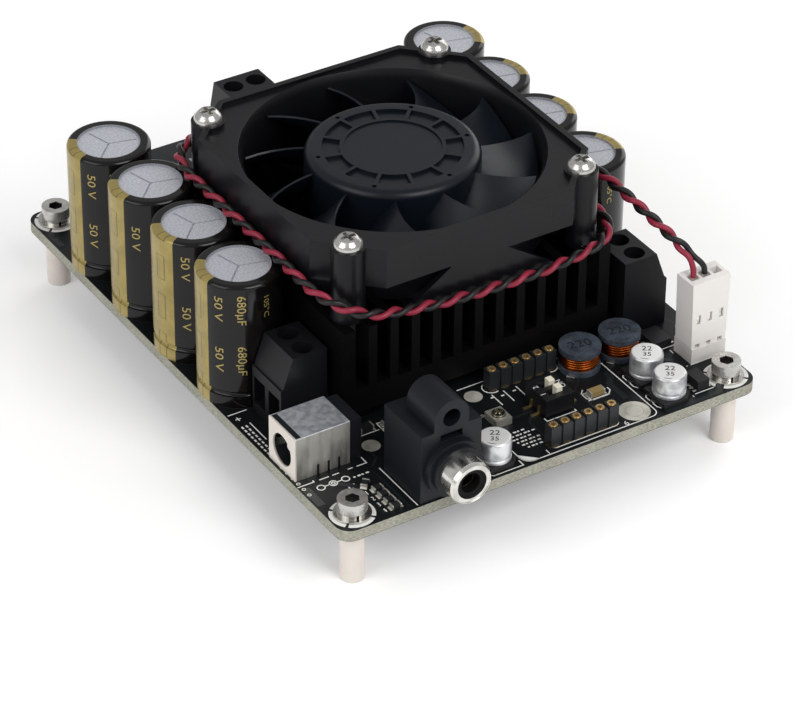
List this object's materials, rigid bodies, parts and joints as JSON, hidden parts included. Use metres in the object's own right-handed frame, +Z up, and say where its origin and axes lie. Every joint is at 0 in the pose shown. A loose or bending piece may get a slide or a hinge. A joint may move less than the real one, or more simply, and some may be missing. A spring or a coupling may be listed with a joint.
{
  "type": "audio amplifier board",
  "caption": "Fan-cooled audio amplifier board on standoffs, with a finned heatsink, rows of bulk capacitors, a phono input, a power jack and screw terminals.",
  "frame": {"origin": "centre of the four corner holes, on the plane of the standoff feet", "axes": "+X right along the front edge, +Y from the phono jack edge to the speaker terminal edge, +Z up through the fan"},
  "size_m": [0.0908, 0.1273, 0.0518],
  "materials": {
    "board_mask": "satin",
    "nylon": "satin",
    "steel": "satin",
    "black_anodised": "satin",
    "chip_resin": "matte",
    "pad": "matte",
    "fan_plastic": "satin",
    "copper": "satin",
    "lead_sleeve": "satin",
    "black_plastic": "satin",
    "plated": "polished",
    "gilt": "polished",
    "ferrite": "matte",
    "can": "satin",
    "white_plastic": "satin",
    "trimmer_ceramic": "matte",
    "sleeve": "glossy",
    "terminal_plastic": "satin"
  },
  "bodies": {
    "board": {"circuit_board": "board_mask", "standoffs": "nylon", "corner_screws": "steel", "corner_washers": "steel", "heatsink": "black_anodised", "heatsink_screws": "steel", "power_transistors": "chip_resin", "thermal_pad": "pad", "fan_frame": "fan_plastic", "fan_bearings": "steel", "fan_stator": "copper", "fan_screws": "steel", "fan_lead": "lead_sleeve", "fan_plug": "nylon", "fan_header": "nylon", "dc_jack_housing": "black_plastic", "dc_jack_shield": "plated", "dc_jack_pin": "plated", "rca_housing": "black_plastic", "rca_barrel": "plated", "rca_contact": "gilt", "socket_strips": "black_plastic", "socket_contacts": "gilt", "choke_cores": "ferrite", "choke_windings": "copper", "signal_capacitors": "can", "dip_switch_housing": "black_plastic", "output_inductors": "ferrite", "trimmer_body": "trimmer_ceramic", "board_chips": "chip_resin", "terminal_contacts": "plated", "left_capacitor_1": "sleeve", "left_capacitor_2": "sleeve", "left_capacitor_3": "sleeve", "left_capacitor_4": "sleeve", "right_capacitor_1": "sleeve", "right_capacitor_2": "sleeve", "right_capacitor_3": "sleeve", "right_capacitor_4": "sleeve", "power_terminal_housing": "terminal_plastic", "aux_terminal_housing": "terminal_plastic", "speaker_terminal_housing": "terminal_plastic"},
    "rotor": {"fan_rotor": "fan_plastic", "rotor_yoke": "steel", "rotor_shaft": "steel"},
    "slider_1": {"dip_slider_1": "white_plastic"},
    "slider_2": {"dip_slider_2": "white_plastic"},
    "trimmer": {"trimmer_rotor": "gilt"},
    "power_terminal_screw_1": {"power_terminal_screw_1": "plated"},
    "power_terminal_screw_2": {"power_terminal_screw_2": "plated"},
    "aux_terminal_screw_1": {"aux_terminal_screw_1": "plated"},
    "aux_terminal_screw_2": {"aux_terminal_screw_2": "plated"},
    "speaker_terminal_screw_1": {"speaker_terminal_screw_1": "plated"},
    "speaker_terminal_screw_2": {"speaker_terminal_screw_2": "plated"},
    "power_terminal_clamp_1": {"power_terminal_clamp_1": "plated"},
    "power_terminal_clamp_2": {"power_terminal_clamp_2": "plated"},
    "aux_terminal_clamp_1": {"aux_terminal_clamp_1": "plated"},
    "aux_terminal_clamp_2": {"aux_terminal_clamp_2": "plated"},
    "speaker_terminal_clamp_1": {"speaker_terminal_clamp_1": "plated"},
    "speaker_terminal_clamp_2": {"speaker_terminal_clamp_2": "plated"}
  },
  "joints": [
    {"name": "fan_spin", "type": "hinge", "parent": "board", "child": "rotor", "pos_m": [0, -0.0036, 0.043], "axis": [0, 0, 1], "continuous": true},
    {"name": "slider_1_slide", "type": "slide", "parent": "board", "child": "slider_1", "axis": [-1, 0, 0], "range_m": [0, 0.0015]},
    {"name": "slider_2_slide", "type": "slide", "parent": "board", "child": "slider_2", "axis": [-1, 0, 0], "range_m": [0, 0.0015]},
    {"name": "trimmer_turn", "type": "hinge", "parent": "board", "child": "trimmer", "pos_m": [-0.0033, -0.0456, 0.015], "axis": [0, 0, 1], "range_deg": [-130, 130]},
    {"name": "power_terminal_screw_1_turn", "type": "hinge", "parent": "board", "child": "power_terminal_screw_1", "pos_m": [-0.0336, -0.02186, 0.024], "axis": [0, 0, -1], "range_deg": [0, 1080]},
    {"name": "power_terminal_clamp_1_rise", "type": "slide", "parent": "board", "child": "power_terminal_clamp_1", "axis": [0, 0, 1], "range_m": [0, 0.0015]},
    {"name": "power_terminal_screw_2_turn", "type": "hinge", "parent": "board", "child": "power_terminal_screw_2", "pos_m": [-0.0336, -0.02694, 0.024], "axis": [0, 0, -1], "range_deg": [0, 1080]},
    {"name": "power_terminal_clamp_2_rise", "type": "slide", "parent": "board", "child": "power_terminal_clamp_2", "axis": [0, 0, 1], "range_m": [0, 0.0015]},
    {"name": "aux_terminal_screw_1_turn", "type": "hinge", "parent": "board", "child": "aux_terminal_screw_1", "pos_m": [0.035, -0.03264, 0.024], "axis": [0, 0, -1], "range_deg": [0, 1080]},
    {"name": "aux_terminal_clamp_1_rise", "type": "slide", "parent": "board", "child": "aux_terminal_clamp_1", "axis": [0, 0, 1], "range_m": [0, 0.0015]},
    {"name": "aux_terminal_screw_2_turn", "type": "hinge", "parent": "board", "child": "aux_terminal_screw_2", "pos_m": [0.035, -0.02756, 0.024], "axis": [0, 0, -1], "range_deg": [0, 1080]},
    {"name": "aux_terminal_clamp_2_rise", "type": "slide", "parent": "board", "child": "aux_terminal_clamp_2", "axis": [0, 0, 1], "range_m": [0, 0.0015]},
    {"name": "speaker_terminal_screw_1_turn", "type": "hinge", "parent": "board", "child": "speaker_terminal_screw_1", "pos_m": [0.00444, 0.0546, 0.024], "axis": [0, 0, -1], "range_deg": [0, 1080]},
    {"name": "speaker_terminal_clamp_1_rise", "type": "slide", "parent": "board", "child": "speaker_terminal_clamp_1", "axis": [0, 0, 1], "range_m": [0, 0.0015]},
    {"name": "speaker_terminal_screw_2_turn", "type": "hinge", "parent": "board", "child": "speaker_terminal_screw_2", "pos_m": [-0.00064, 0.0546, 0.024], "axis": [0, 0, -1], "range_deg": [0, 1080]},
    {"name": "speaker_terminal_clamp_2_rise", "type": "slide", "parent": "board", "child": "speaker_terminal_clamp_2", "axis": [0, 0, 1], "range_m": [0, 0.0015]}
  ],
  "couplings": [
    {"joint": "power_terminal_screw_1_turn", "follows": "power_terminal_clamp_1_rise", "rad_per_m": 12566},
    {"joint": "power_terminal_screw_2_turn", "follows": "power_terminal_clamp_2_rise", "rad_per_m": 12566},
    {"joint": "aux_terminal_screw_1_turn", "follows": "aux_terminal_clamp_1_rise", "rad_per_m": 12566},
    {"joint": "aux_terminal_screw_2_turn", "follows": "aux_terminal_clamp_2_rise", "rad_per_m": 12566},
    {"joint": "speaker_terminal_screw_1_turn", "follows": "speaker_terminal_clamp_1_rise", "rad_per_m": 12566},
    {"joint": "speaker_terminal_screw_2_turn", "follows": "speaker_terminal_clamp_2_rise", "rad_per_m": 12566}
  ]
}
